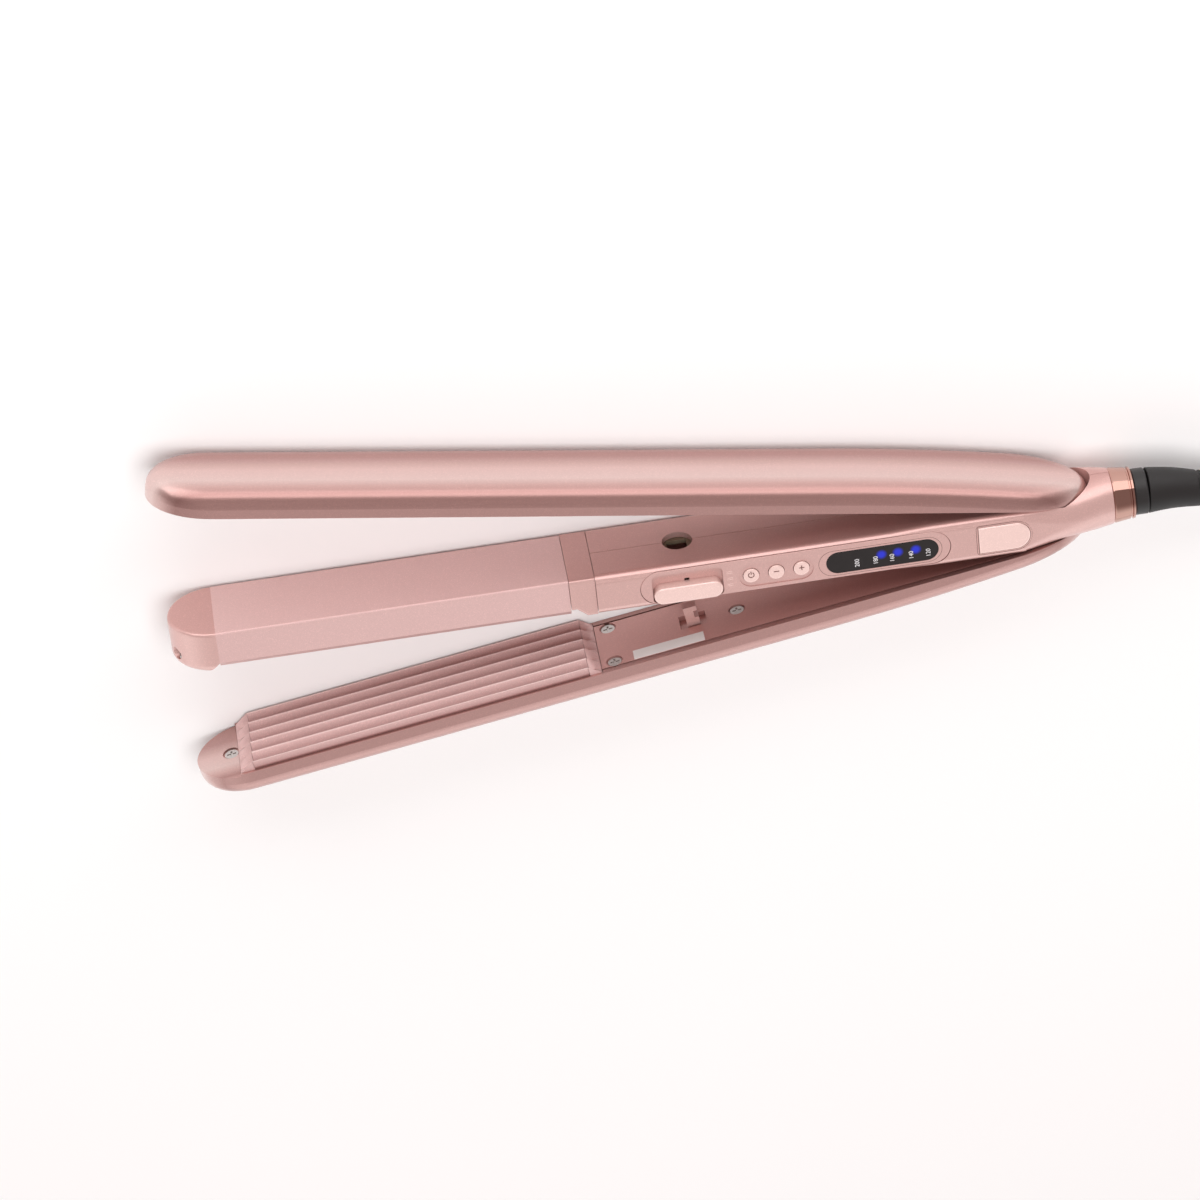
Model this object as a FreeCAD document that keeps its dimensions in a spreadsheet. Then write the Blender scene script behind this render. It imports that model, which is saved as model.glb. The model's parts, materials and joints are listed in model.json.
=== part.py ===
import FreeCAD, Part

import math
import os

import Sketcher

# A three-arm hair crimper: a middle arm with a handle, and an upper and a lower arm on one
# hinge pin.  Millimetres.  X runs from the tips to the cord, Y from the lower arm to the
# upper arm, Z up from the surface that the tool lies on, control side up.  The origin is
# under the hinge pin, on the resting face.  Arm pieces are drawn closed, then turned open.

V = FreeCAD.Vector

DIMENSIONS = {
    # overall
    "mid_z": 13.5,
    "handle_half_width": 13.5,
    "arm_half_width": 13.3,
    "core_half_width": 12.6,
    "wall": 1.8,
    "part_gap": 0.1,
    "upper_open_angle": 9.48,
    "lower_open_angle": 8.88,
    # stations along the middle arm
    "cap_end_x": -253.0,
    "core_tip_x": -239.4,
    "core_rear_x": -135.3,
    "handle_front_x": -127.4,
    "cavity_end_x": -26.5,
    "hinge_room_x": -15.5,
    "tail_end_x": 27.7,
    # middle arm thickness
    "core_top": 6.3,
    "handle_half": 6.6,
    "rear_half": 7.2,
    # hinge
    "pin_radius": 2.0,
    "lug_bore_radius": 2.06,
    "eye_radius": 5.2,
    "lug_inner": 3.4,
    "lug_outer": 8.0,
    # crimp ridges
    "ridge_pitch": 5.0,
    "core_ridge_top": -6.8,
    "core_ridge_root": -4.2,
    "arm_ridge_top": -4.5,
    "arm_ridge_root": -7.1,
    "crimp_tip_x": -238.2,
    "crimp_rear_x": -134.9,
    "end_piece_rear_x": -131.2,
    "end_piece_tip_x": -242.6,
    # arm shells
    "lip": 7.5,
    "nose_centre_x": -240.0,
    "nose_reach": 18.0,
    "lower_nose_reach": 15.5,
    "tongue_centre_x": -4.0,
    "tongue_reach": 24.0,
    "upper_back": 15.6,
    "lower_back": 16.2,
    "back_edge_radius": 5.2,
    "back_bend_x": -60.0,
    "back_bend_radius": 780.0,
    "edge_radius": 2.4,
    "cover_half_width": 10.9,
    # control panel
    "panel_y": -0.4,
    "panel_front_x": -114.5,
    "panel_rear_x": -22.3,
    "panel_radius": 5.6,
    "panel_face": 26.9,
    "panel_thick": 1.6,
    "button_first_x": -81.7,
    "button_pitch": 7.5,
    "button_radius": 2.35,
    "window_front_x": -59.4,
    "window_rear_x": -25.9,
    "window_radius": 3.75,
    # lock
    "latch_x": -101.4,
    "slider_low_y": -5.4,
    "slider_height": 5.6,
    # tail and cord
    "drum_radius": 6.9,
    "cord_radius": 3.0,
    "coil_lift": 0.6,
    "coil_x": 152.0,
    "coil_y": -2.0,
    "coil_inner": 18.0,
    "coil_outer": 50.3,
}

doc = FreeCAD.newDocument("HairCrimper")
sheet = doc.addObject("Spreadsheet::Sheet", "Sheet")


class Dim:
    """A number together with the sheet expression that gives it."""

    def __init__(self, value, text):
        self.value = value
        self.text = text

    def __add__(self, other):
        return Dim(self.value + number(other), f"({self.text} + {text(other)})")

    def __radd__(self, other):
        return Dim(number(other) + self.value, f"({text(other)} + {self.text})")

    def __sub__(self, other):
        return Dim(self.value - number(other), f"({self.text} - {text(other)})")

    def __rsub__(self, other):
        return Dim(number(other) - self.value, f"({text(other)} - {self.text})")

    def __mul__(self, other):
        return Dim(self.value * number(other), f"({self.text} * {text(other)})")

    __rmul__ = __mul__

    def __neg__(self):
        return Dim(-self.value, f"(-{self.text})")


def number(value):
    return value.value if isinstance(value, Dim) else float(value)


def text(value):
    return value.text if isinstance(value, Dim) else f"({float(value):.4f})"


class Dimensions:
    """The sheet's cells, each as a Dim attribute."""

    def __init__(self):
        for row, (name, value) in enumerate(DIMENSIONS.items(), 1):
            sheet.set(f"A{row}", name)
            sheet.set(f"B{row}", str(value))
            sheet.setAlias(f"B{row}", name)
            setattr(self, name, Dim(value, f"Sheet.{name}"))


d = Dimensions()
doc.recompute()
MID = d.mid_z
nodes = []

AXIS_TURN = {
    "X": FreeCAD.Rotation(V(0, 1, 0), 90),
    "Y": FreeCAD.Rotation(V(1, 0, 0), -90),
    "Z": FreeCAD.Rotation(),
}


# ---- helpers -------------------------------------------------------------------------


def bind(obj, path, value):
    obj.setExpression(path, text(value))


def move(obj, x, y, z):
    for axis, value in zip("xyz", (x, y, z)):
        bind(obj, f"Placement.Base.{axis}", value)


def box(x, y, z):
    """A box; x, y and z are (low, high) pairs."""
    solid = doc.addObject("Part::Box", "Box")
    for side, (low, high) in zip(("Length", "Width", "Height"), (x, y, z)):
        bind(solid, side, high - low)
    move(solid, x[0], y[0], z[0])
    return solid


def rod(axis, radius, length, base):
    """A cylinder along an axis from its base point."""
    solid = doc.addObject("Part::Cylinder", "Rod")
    solid.Placement = FreeCAD.Placement(V(), AXIS_TURN[axis])
    bind(solid, "Radius", radius)
    bind(solid, "Height", length)
    move(solid, *base)
    return solid


def oval(centre_x, reach, half_width, y):
    """A cylinder along Y with an elliptical outline, reach along X and half_width along Z."""
    ring = doc.addObject("Part::Ellipse", "Oval")
    long_axis = "MajorRadius" if number(reach) > number(half_width) else "MinorRadius"
    short_axis = "MinorRadius" if long_axis == "MajorRadius" else "MajorRadius"
    turn = 0 if long_axis == "MajorRadius" else 90
    ring.Placement = FreeCAD.Placement(
        V(), AXIS_TURN["Y"].multiply(FreeCAD.Rotation(V(0, 0, 1), turn))
    )
    bind(ring, long_axis, reach)
    bind(ring, short_axis, half_width)
    move(ring, centre_x, y[0], MID)
    solid = doc.addObject("Part::Extrusion", "OvalSolid")
    solid.Base = ring
    solid.DirMode = "Custom"
    solid.Dir = V(0, 1, 0)
    solid.Solid = True
    bind(solid, "LengthFwd", y[1] - y[0])
    return solid


def draw(sketch, points):
    """A closed outline with every corner held at its sheet position."""
    spots = [V(number(x), number(y), 0) for x, y in points]
    count = len(spots)
    sketch.addGeometry(
        [Part.LineSegment(spots[i], spots[(i + 1) % count]) for i in range(count)], False
    )
    for i, (x, y) in enumerate(points):
        sketch.addConstraint(Sketcher.Constraint("Coincident", i, 2, (i + 1) % count, 1))
        for kind, value in (("DistanceX", x), ("DistanceY", y)):
            held = Sketcher.Constraint(kind, -1, 1, i, 1, number(value))
            index = sketch.addConstraint(held)
            if isinstance(value, Dim):
                sketch.setExpression(f"Constraints[{index}]", value.text)


def body_sketch(body, plane, start, points):
    """A sketch on one of the body's own origin planes."""
    sketch = body.newObject("Sketcher::SketchObject", "Outline")
    origin = [f for f in body.Origin.OriginFeatures if f.Role == plane][0]
    sketch.AttachmentSupport = [(origin, "")]
    sketch.MapMode = "FlatFace"
    bind(sketch, "AttachmentOffset.Base.z", start)
    draw(sketch, points)
    return sketch


def prism(plane, points, start, length):
    """A body padded from an outline; start and length run along the plane's normal."""
    body = doc.addObject("PartDesign::Body", "Prism")
    pad = body.newObject("PartDesign::Pad", "Pad")
    pad.Profile = body_sketch(body, plane, start, points)
    bind(pad, "Length", length)
    body.Tip = pad
    return body


def turned(points):
    """A body turned about the tail axis from (x, radius) points."""
    body = doc.addObject("PartDesign::Body", "Turned")
    turn = body.newObject("PartDesign::Revolution", "Revolution")
    sketch = body_sketch(body, "XY_Plane", MID, points)
    turn.Profile = sketch
    turn.ReferenceAxis = (sketch, ["H_Axis"])
    turn.Angle = 360
    body.Tip = turn
    return body


def fuse(*solids):
    result = doc.addObject("Part::MultiFuse", "Fusion")
    result.Shapes = list(solids)
    result.Refine = True
    return result


def cut(base, *tools):
    result = doc.addObject("Part::Cut", "Cut")
    result.Base = base
    result.Tool = tools[0] if len(tools) == 1 else fuse(*tools)
    return result


def common(first, second):
    result = doc.addObject("Part::Common", "Common")
    result.Base = first
    result.Tool = second
    return result


def rounded(base, radius, keep):
    """Fillet the edges whose bounding box passes the test keep(box)."""
    doc.recompute()
    result = doc.addObject("Part::Fillet", "Rounded")
    result.Base = base
    edges = enumerate(base.Shape.Edges, 1)
    result.Edges = [(i, radius, radius) for i, edge in edges if keep(edge.BoundBox)]
    return result


def group(*solids):
    result = doc.addObject("Part::Compound", "Group")
    result.Links = list(solids)
    return result


def part(name, obj, arm=None):
    """Register a finished sub-part; arm turns it open about the hinge pin."""
    obj.Label = name
    if arm:
        up = -1 if arm == "upper" else 1
        obj.Placement = FreeCAD.Placement(V(), FreeCAD.Rotation(V(0, 0, up), 1.0))
        obj.setExpression("Placement.Rotation.Angle", f"Sheet.{arm}_open_angle")
    nodes.append(obj)
    return obj


def stadium(x, radius, y, z):
    """A flat bar with half-round ends, x and z as (low, high), centred on y."""
    front = x[0] + radius
    rear = x[1] - radius
    return fuse(
        box((front, rear), (y - radius, y + radius), z),
        rod("Z", radius, z[1] - z[0], (front, y, z[0])),
        rod("Z", radius, z[1] - z[0], (rear, y, z[0])),
    )


# ---- middle arm: handle --------------------------------------------------------------


def cover_outline(grow, z):
    """The D-shaped hinge cover: a straight front edge and a round rear end."""
    radius = 4.5 + grow
    return fuse(
        box((-13.9 - grow, -3.0), (-radius, radius), z),
        rod("Z", radius, z[1] - z[0], (-3.0, 0, z[0])),
    )


def handle_body():
    """The whole handle moulding, before it is split into two halves."""
    width = d.handle_half_width * 2
    profile = []
    for x, half in (
        (d.handle_front_x, d.handle_half),
        (-40.0, d.handle_half),
        (-28.0, d.rear_half),
        (0.0, d.rear_half),
    ):
        profile.append((x, half))
    profile += [(x, -half) for x, half in reversed(profile)]
    grip = rounded(
        prism("XY_Plane", profile, 0.0, width),
        number(d.edge_radius),
        lambda b: b.ZLength < 0.01 and b.XLength > 5.0,
    )
    socket = rod("X", 5.4, 5.8, (d.tail_end_x - 1.8, 0.0, MID))
    outer = fuse(grip, neck(), socket)
    cavity = box(
        (d.handle_front_x - 1.0, d.cavity_end_x),
        (d.wall - d.handle_half, d.handle_half - d.wall),
        (d.wall, width - d.wall),
    )
    boss = rod("Z", 3.2, width - 2.0, (-121.0, 0.0, 1.0))
    ribs = [
        box((x, x + 2.0), (-5.0, 5.0), (1.0, top))
        for x, top in ((-109.5, 8.3), (-94.5, 8.3), (-80.0, 6.0), (-36.0, 6.0))
    ]
    room = (MID - 8.4, MID + 8.4)
    openings = [
        box((d.hinge_room_x, 8.5), (-9.0, 9.0), room),
        rod("Z", d.pin_radius, width - 2.8, (0.0, 0.0, 1.4)),
        rod("X", 3.2, 30.0, (5.0, 0.0, MID)),
        rod("X", 0.8, 16.0, (-28.0, 4.6, MID)),
        rod("X", 0.8, 16.0, (-28.0, -4.6, MID)),
        cover_outline(0.15, (-1.0, 1.2)),
        cover_outline(0.15, (width - 1.2, width + 1.0)),
        stadium(
            (d.panel_front_x - d.part_gap, d.panel_rear_x + d.part_gap),
            d.panel_radius + d.part_gap,
            0.0,
            (width - 3.0, width + 1.0),
        ),
        rod("Y", 4.5, 5.0, (d.latch_x, 4.0, MID)),
        box((d.latch_x - 4.5, d.latch_x + 4.5), (-9.0, -4.0), (MID - 4.0, MID + 4.0)),
    ]
    for x in (-121.0, -21.0):
        openings.append(rod("Z", 2.5, 3.4, (x, 0.0, -1.0)))
        openings.append(rod("Z", 1.2, 19.0, (x, 0.0, 2.0)))
    openings += tongue_room(1, d.upper_open_angle)
    openings += tongue_room(-1, d.lower_open_angle)
    return cut(fuse(cut(outer, cavity), boss, *ribs), *openings)


NECK_STATIONS = (
    (-1.0, 7.15, 13.45, 2.4),
    (5.0, 7.3, 13.1, 4.6),
    (11.0, 7.6, 12.4, 6.6),
    (16.5, 7.95, 11.5, 7.8),
    (21.9, 8.3, 10.1, 8.2),
    (27.7, 8.3, 8.4, 8.2),
)


def neck():
    """The handle's smooth change from a flat bar to a round tail."""
    sections = []
    for x, half, half_width, radius in NECK_STATIONS:
        sketch = doc.addObject("Sketcher::SketchObject", "NeckSection")
        turn = FreeCAD.Rotation(V(0, 1, 0), V(0, 0, 1), V(1, 0, 0), "XYZ")
        sketch.Placement = FreeCAD.Placement(V(), turn)
        bind(sketch, "Placement.Base.x", x)
        bind(sketch, "Placement.Base.z", MID)
        round_outline(sketch, half, half_width, radius)
        sections.append(sketch)
    loft = doc.addObject("Part::Loft", "Neck")
    loft.Sections = sections
    loft.Solid = True
    return loft


def round_outline(sketch, half, half_width, radius):
    """A rounded rectangle about the sketch's origin."""
    y = half - radius
    z = half_width - radius
    corners = ((y, z, 0), (-y, z, 90), (-y, -z, 180), (y, -z, 270))
    for i, (cy, cz, start) in enumerate(corners):
        circle = Part.Circle(V(cy, cz, 0), V(0, 0, 1), radius)
        arc = Part.ArcOfCircle(circle, math.radians(start), math.radians(start + 90))
        sketch.addGeometry(arc, False)
        after = corners[(i + 1) % 4]
        turn = math.radians(start + 90)
        lift = V(radius * math.cos(turn), radius * math.sin(turn), 0)
        first = V(cy, cz, 0) + lift
        last = V(after[0], after[1], 0) + lift
        sketch.addGeometry(Part.LineSegment(first, last), False)


def tongue_room(side, open_angle):
    """The space an arm's tongue sweeps between closed and open, as turned copies."""
    lip = d.lip - 0.25
    level = (lip, 24.0) if side > 0 else (-24.0, -lip)
    rooms = []
    steps = 5
    for i in range(steps + 1):
        slab = oval(d.tongue_centre_x, d.tongue_reach + 0.3, d.arm_half_width + 0.3, level)
        room = group(slab)
        room.Placement = FreeCAD.Placement(V(), FreeCAD.Rotation(V(0, 0, -side), 1.0))
        bind(room, "Placement.Rotation.Angle", open_angle * (i / steps))
        rooms.append(room)
    return rooms


def handle_halves():
    """Two half shells that meet on the middle plane, with a fine seam."""
    whole = handle_body()
    seam = 0.08
    reach = (-130.0, 40.0)
    far = box(reach, (-20.0, 20.0), (-1.0, MID - seam))
    near = box(reach, (-20.0, 20.0), (MID + seam, MID + 20.0))
    part("handle_far_half", common(whole, far))
    part("handle_control_half", common(whole, near))


def handle_screws():
    screws = []
    for x in (-121.0, -21.0):
        head = rod("Z", 2.2, 1.4, (x, 0.0, 1.0))
        drive = box((x - 0.4, x + 0.4), (-1.4, 1.4), (0.5, 1.7))
        screws.append(cut(fuse(head, rod("Z", 1.2, 18.0, (x, 0.0, 2.0))), drive))
    part("handle_screws", group(*screws))


def hinge_pieces():
    width = d.handle_half_width * 2
    part("hinge_pin", rod("Z", d.pin_radius, width - 2.8, (0.0, 0.0, 1.4)))
    part("hinge_cover_far", cover_outline(0.0, (0.0, 1.2)))
    domed = rounded(
        cover_outline(0.0, (width - 1.2, width + 0.5)),
        0.6,
        lambda b: b.ZLength < 0.01 and b.ZMin > 27.0,
    )
    part("hinge_cover_control", domed)


def torsion_spring(name, arm_side):
    """Wire round the pin: a still leg on the far side of the pin, 2.5 turns, a leg under the arm."""
    pitch = 0.85
    start_z = number(MID) + 0.7 * arm_side
    turns = 2.5
    coil_radius = 3.3
    wire_radius = 0.4
    steps = 30
    points = [V(x, -coil_radius * arm_side, start_z) for x in (-12.0, -8.0, -4.0)]
    for i in range(steps + 1):
        angle = 2 * math.pi * turns * i / steps
        x = coil_radius * math.sin(angle)
        y = -coil_radius * math.cos(angle) * arm_side
        points.append(V(x, y, start_z + pitch * arm_side * turns * i / steps))
    leg = points[-1]
    points += [leg + V(-x, 0.15 * x * arm_side, 0) for x in (4.0, 7.5, 11.0)]
    line = Part.BSplineCurve()
    line.interpolate(points)
    path = Part.Wire(line.toShape())
    ring = Part.Wire(Part.makeCircle(wire_radius, points[0], points[1] - points[0]))
    spring = doc.addObject("Part::Feature", "Spring")
    spring.Shape = path.makePipeShell([ring], True, False)
    expected = math.pi * wire_radius**2 * path.Length
    print(f"{name} volume ratio {spring.Shape.Volume / expected:.4f}")
    part(name, spring)


# ---- middle arm: heated core ---------------------------------------------------------


def ridge_line(top, root, half_width):
    """Corners of six crimp ridges across the arm, from +Z to -Z, as (y, z)."""
    points = []
    for i in range(11):
        z = d.ridge_pitch * (2.5 - i * 0.5)
        if i == 0:
            z = half_width
        if i == 10:
            z = -half_width
        points.append((root if i % 2 else top, MID + z))
    return points


def core_pieces():
    length = d.core_rear_x - d.core_tip_x
    half = d.core_half_width
    inner = half - 1.4
    arch = [
        (-3.2, MID - half),
        (d.core_top, MID - half),
        (d.core_top, MID + half),
        (-3.2, MID + half),
        (-3.2, MID + inner),
        (d.core_top - 1.5, MID + inner),
        (d.core_top - 1.5, MID - inner),
        (-3.2, MID - inner),
    ]
    top = prism("YZ_Plane", arch, d.core_tip_x, length)
    top = rounded(top, 0.8, lambda b: b.XLength > 50 and b.YMin > 6.2)
    part("core_flat_plate", top)
    ridges = [(-3.2, MID - half), (-3.2, MID + half)]
    ridges += ridge_line(d.core_ridge_root, d.core_ridge_top, half)
    part("core_crimp_plate", prism("YZ_Plane", ridges, d.core_tip_x, length))
    span = (-225.0, -150.0)
    across = (MID - 8.0, MID + 8.0)
    part("core_flat_heater", box(span, (2.6, d.core_top - 1.5), across))
    part("core_crimp_heater", box(span, (-3.2, -1.0), across))
    tray = box((-228.0, -147.0), (-1.0, 2.6), (MID - 9.0, MID + 9.0))
    fuse_seat = box((-200.0, -186.0), (-1.0, 1.0), (MID - 1.6, MID + 1.6))
    part("heater_spreader", cut(tray, fuse_seat))
    part("thermal_fuse", rod("X", 0.95, 13.6, (-199.8, 0.0, MID)))


def tip_cap():
    """The heat-proof nose of the middle arm, with a spigot into the core."""
    bottom = -7.9
    nose_box = box(
        (d.cap_end_x - 1.0, d.core_tip_x), (-9.0, 7.0), (MID - 14.0, MID + 14.0)
    )
    nose = oval(
        d.core_tip_x, d.core_tip_x - d.cap_end_x, d.core_half_width, (bottom, d.core_top)
    )
    nose = common(nose, nose_box)
    nose = rounded(nose, 3.0, lambda b: b.YLength < 0.01 and b.YMin < -7.0 and b.XLength > 5)
    nose = rounded(nose, 1.0, lambda b: b.YLength < 0.01 and b.YMin > 6.0 and b.XLength > 5)
    slope = prism(
        "XY_Plane",
        [(d.core_tip_x - 4.2, bottom - 0.5), (d.core_tip_x, -4.2), (d.core_tip_x + 1.0, -9.0)],
        0.0,
        30.0,
    )
    spigot = box(
        (d.core_tip_x - 1.0, d.core_tip_x + 5.0), (-2.9, 4.6), (MID - 11.0, MID + 11.0)
    )
    screw_hole = rod("X", 1.9, 5.0, (-254.5, -3.2, MID + 5.6))
    shank_hole = rod("X", 1.0, 8.0, (-250.0, -3.2, MID + 5.6))
    part("tip_cap", cut(fuse(cut(nose, slope), spigot), screw_hole, shank_hole))
    head = rod("X", 1.8, 1.2, (-250.7, -3.2, MID + 5.6))
    drive = box((-251.0, -250.2), (-4.3, -2.1), (MID + 5.3, MID + 5.9))
    shank = rod("X", 1.0, 7.4, (-249.6, -3.2, MID + 5.6))
    part("tip_cap_screw", cut(fuse(head, shank), drive))


def collar():
    """The heat break between the core and the handle."""
    half = d.core_half_width + 0.3
    seam = 0.15
    outline = [
        (d.core_rear_x + seam, -4.0),
        (d.core_rear_x + 1.7, -4.0),
        (d.core_rear_x + 4.7, -d.handle_half),
        (d.handle_front_x - seam, -d.handle_half),
        (d.handle_front_x - seam, d.core_top),
        (d.core_rear_x + seam, d.core_top),
    ]
    ring = prism("XY_Plane", outline, MID - half, half * 2)
    ring = rounded(
        ring, 0.8, lambda b: b.ZLength < 0.01 and b.XLength > 1.0
    )
    front = box((d.core_rear_x - 5.0, d.core_rear_x + 1.0), (-2.9, 4.6), (MID - 11, MID + 11))
    rear = box(
        (d.handle_front_x - 1.0, d.handle_front_x + 2.5), (-4.6, 4.6), (MID - 11.4, MID + 11.4)
    )
    passage = box((d.core_rear_x - 6.0, d.handle_front_x + 3.0), (-2.0, 2.0), (MID - 7, MID + 7))
    part("heat_collar", cut(fuse(ring, front, rear), passage))


# ---- controls ------------------------------------------------------------------------


def control_panel():
    face = d.panel_face
    back = face - d.panel_thick
    plate = stadium((d.panel_front_x, d.panel_rear_x), d.panel_radius, 0.0, (back, face))
    plate = rounded(plate, 0.25, lambda b: b.ZLength < 0.01 and b.ZMin > 26.8)
    guide = box((-111.8, -88.6), (-4.7, 4.7), (23.8, back))
    recess_z = (25.0, face + 1.0)
    recess = fuse(
        box((-109.4, -91.6), (-5.45, 4.3), recess_z),
        box((-111.0, -90.0), (-3.85, 2.7), recess_z),
        *[
            rod("Z", 1.6, recess_z[1] - recess_z[0], (x, y, recess_z[0]))
            for x in (-109.4, -91.6)
            for y in (-3.85, 2.7)
        ],
    )
    centre = d.panel_y
    tools = [
        recess,
        box((-101.25, -99.75), (-4.5, 0.9), (23.0, 26.0)),
        stadium((-85.3, -63.1), 3.9, centre, (face - 0.3, face + 1.0)),
        stadium(
            (d.window_front_x, d.window_rear_x), d.window_radius, centre, (face - 0.9, face + 1)
        ),
        box((-56.0, -29.5), (centre - 2.4, centre + 2.4), (back - 1.0, face)),
    ]
    for i in range(3):
        x = d.button_first_x + d.button_pitch * i
        tools.append(rod("Z", d.button_radius + 0.15, 5.0, (x, centre, back - 1.0)))
    part("control_panel", cut(fuse(plate, guide), *tools))
    glass = stadium(
        (d.window_front_x + 0.05, d.window_rear_x - 0.05),
        d.window_radius - 0.05,
        centre,
        (face - 0.9, face - 0.1),
    )
    part("display_window", glass)
    part("display_leds", box((-55.5, -30.0), (centre - 2.1, centre + 2.1), (21.6, face - 0.95)))
    board_z = (19.4, 20.6)
    part("control_board", box((-87.5, -27.0), (-4.4, 4.4), board_z))
    switches = []
    for i, name in enumerate(("button_power", "button_minus", "button_plus")):
        x = d.button_first_x + d.button_pitch * i
        cap = fuse(
            rod("Z", d.button_radius, 2.6, (x, centre, 24.6)),
            rod("Z", d.button_radius + 0.5, 1.4, (x, centre, 23.5)),
        )
        part(name, rounded(cap, 0.3, lambda b: b.ZLength < 0.01 and b.ZMin > 27.1))
        base = box((x - 2.4, x + 2.4), (centre - 2.4, centre + 2.4), (board_z[1], 22.3))
        switches.append(fuse(base, rod("Z", 1.2, 1.0, (x, centre, 21.9))))
    part("tact_switches", group(*switches))


def lock():
    low = d.slider_low_y
    high = low + d.slider_height
    bar = box((-110.7, -90.3), (low, high), (25.05, 28.3))
    bar = rounded(bar, 2.7, lambda b: b.ZLength > 2.0)
    bar = rounded(bar, 0.7, lambda b: b.ZLength < 0.01 and b.ZMin > 28.2)
    post = rod("Z", 0.6, 7.0, (-100.5, low + 1.6, 18.4))
    part("lock_slider", fuse(bar, post))
    web = box((-109.0, -93.0), (-4.6, 4.6), (18.0, 19.4))
    plates = [
        box((-109.0, -93.0), y, (8.5, 19.0)) for y in ((3.2, 4.6), (-4.6, -3.2))
    ]
    lean = 0.35
    reach = 0.75
    start_y = low + 1.6
    end_y = start_y + 4.0
    track = prism(
        "XY_Plane",
        [
            (-100.5 - reach - lean * 1.3, start_y - 1.3),
            (-100.5 + reach - lean * 1.3, start_y - 1.3),
            (-100.5 + reach + lean * 5.3, end_y + 1.3),
            (-100.5 - reach + lean * 5.3, end_y + 1.3),
        ],
        17.0,
        4.0,
    )
    window = box((-104.6, -98.6), (-6.0, 6.0), (MID - 3.2, MID + 3.2))
    part("latch_bar", cut(fuse(web, *plates), track, window))


def power_board():
    board = box((-90.0, -28.0), (-4.4, 4.4), (6.0, 7.2))
    relay = box((-84.0, -70.0), (-4.0, 4.0), (7.2, 15.5))
    capacitor = rod("X", 3.2, 16.0, (-62.0, 0.0, 10.4))
    chip = box((-42.0, -34.0), (-3.0, 3.0), (7.2, 8.6))
    part("power_board", fuse(board, relay, capacitor, chip))


# ---- the two jaws --------------------------------------------------------------------


SCREW_SPOTS = ((-126.9, 8.5), (-126.9, -8.5), (-88.1, 0.0), (-30.0, 0.0))
TIP_SCREW_X = -245.0
HEAD_RADIUS = 2.1


def span(first, second):
    """An ordered (low, high) pair of two levels."""
    return (first, second) if number(first) < number(second) else (second, first)


def arm_shell(side, back, nose_reach):
    """An arm's outer shell: rounded nose, long trough and a tongue round the hinge."""
    half = d.arm_half_width
    wall = d.wall
    slab = span(side * d.lip, side * back)
    nose_x = d.nose_centre_x
    hinge_x = d.tongue_centre_x
    across = (MID - half, MID + half)
    plan = fuse(
        oval(nose_x, nose_reach, half, slab),
        box((nose_x, hinge_x), slab, across),
        oval(hinge_x, d.tongue_reach, half, slab),
    )

    bend_x = d.back_bend_x
    bend = d.back_bend_radius

    def crowned(body, radius, drop):
        """Bend the back down toward the hinge and round its edges."""
        top = back - drop
        flat = box((-262.0, bend_x), span(0.0, side * top), (-1.0, 28.0))
        wheel = rod("Z", bend, 29.0, (bend_x, side * (top - bend), -1.0))
        window = box((bend_x, 30.0), span(0.0, side * top), (-1.0, 28.0))
        shaped = common(body, fuse(flat, common(wheel, window)))

        def on_back_edge(b):
            highest = max(abs(b.YMin), abs(b.YMax))
            lowest = min(abs(b.YMin), abs(b.YMax))
            across = b.XLength < 0.01
            return (
                not across
                and abs(highest - level(b.XMin)) < 0.06
                and abs(lowest - level(b.XMax)) < 0.06
            )

        def level(x):
            past = max(x - number(bend_x), 0.0)
            return number(top) - past * past / (2.0 * number(bend))

        return rounded(shaped, radius, on_back_edge)

    solid = crowned(plan, number(d.back_edge_radius), 0.0)
    inner_slab = span(side * 3.0, side * (back - wall))
    inner_plan = fuse(
        box((-238.9, hinge_x), inner_slab, (across[0] + wall, across[1] - wall)),
        oval(hinge_x, d.tongue_reach - wall, half - wall, inner_slab),
    )
    hollow = crowned(inner_plan, 3.0, wall)
    bosses = [
        rod("Y", 3.0, back - 10.0, (x, 9.0 if side > 0 else 1.0 - back, MID + z))
        for x, z in SCREW_SPOTS
    ]
    pilots = [
        rod("Y", 1.2, 4.0, (x, 8.0 if side > 0 else -12.0, MID + z))
        for x, z in (*SCREW_SPOTS, (TIP_SCREW_X, 0.0))
    ]
    head_room = rod("Y", HEAD_RADIUS + 0.5, 5.0, (TIP_SCREW_X, 4.2 if side > 0 else -9.2, MID))
    inside_bosses = common(fuse(*bosses), solid)
    return cut(fuse(cut(solid, hollow), inside_bosses), *pilots, head_room)


def inner_cover(side, lug_z, hook_room):
    """The cover over an arm's trough, with the hinge lug moulded on."""
    lip = d.lip
    half = d.cover_half_width
    plate = box((-131.0, 2.6), span(side * lip, side * (lip + 1.5)), (MID - half, MID + half))
    lug = box((-d.eye_radius, d.eye_radius), span(0.0, side * (lip + 1.0)), lug_z)
    eye = rod("Z", d.eye_radius, lug_z[1] - lug_z[0], (0.0, 0.0, lug_z[0]))
    bore = rod("Z", d.lug_bore_radius, 30.0, (0.0, 0.0, -1.0))
    holes = [bore, box((-105.6, -97.5), span(side * 5.0, side * 11.0), hook_room)]
    for x, z in SCREW_SPOTS:
        start = 4.0 if side > 0 else -8.4
        holes.append(rod("Y", HEAD_RADIUS + 0.4, 4.4, (x, start, MID + z)))
        start = 7.0 if side > 0 else -11.0
        holes.append(rod("Y", 1.25, 4.0, (x, start, MID + z)))
    return cut(fuse(plate, lug, eye), *holes)


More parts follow.
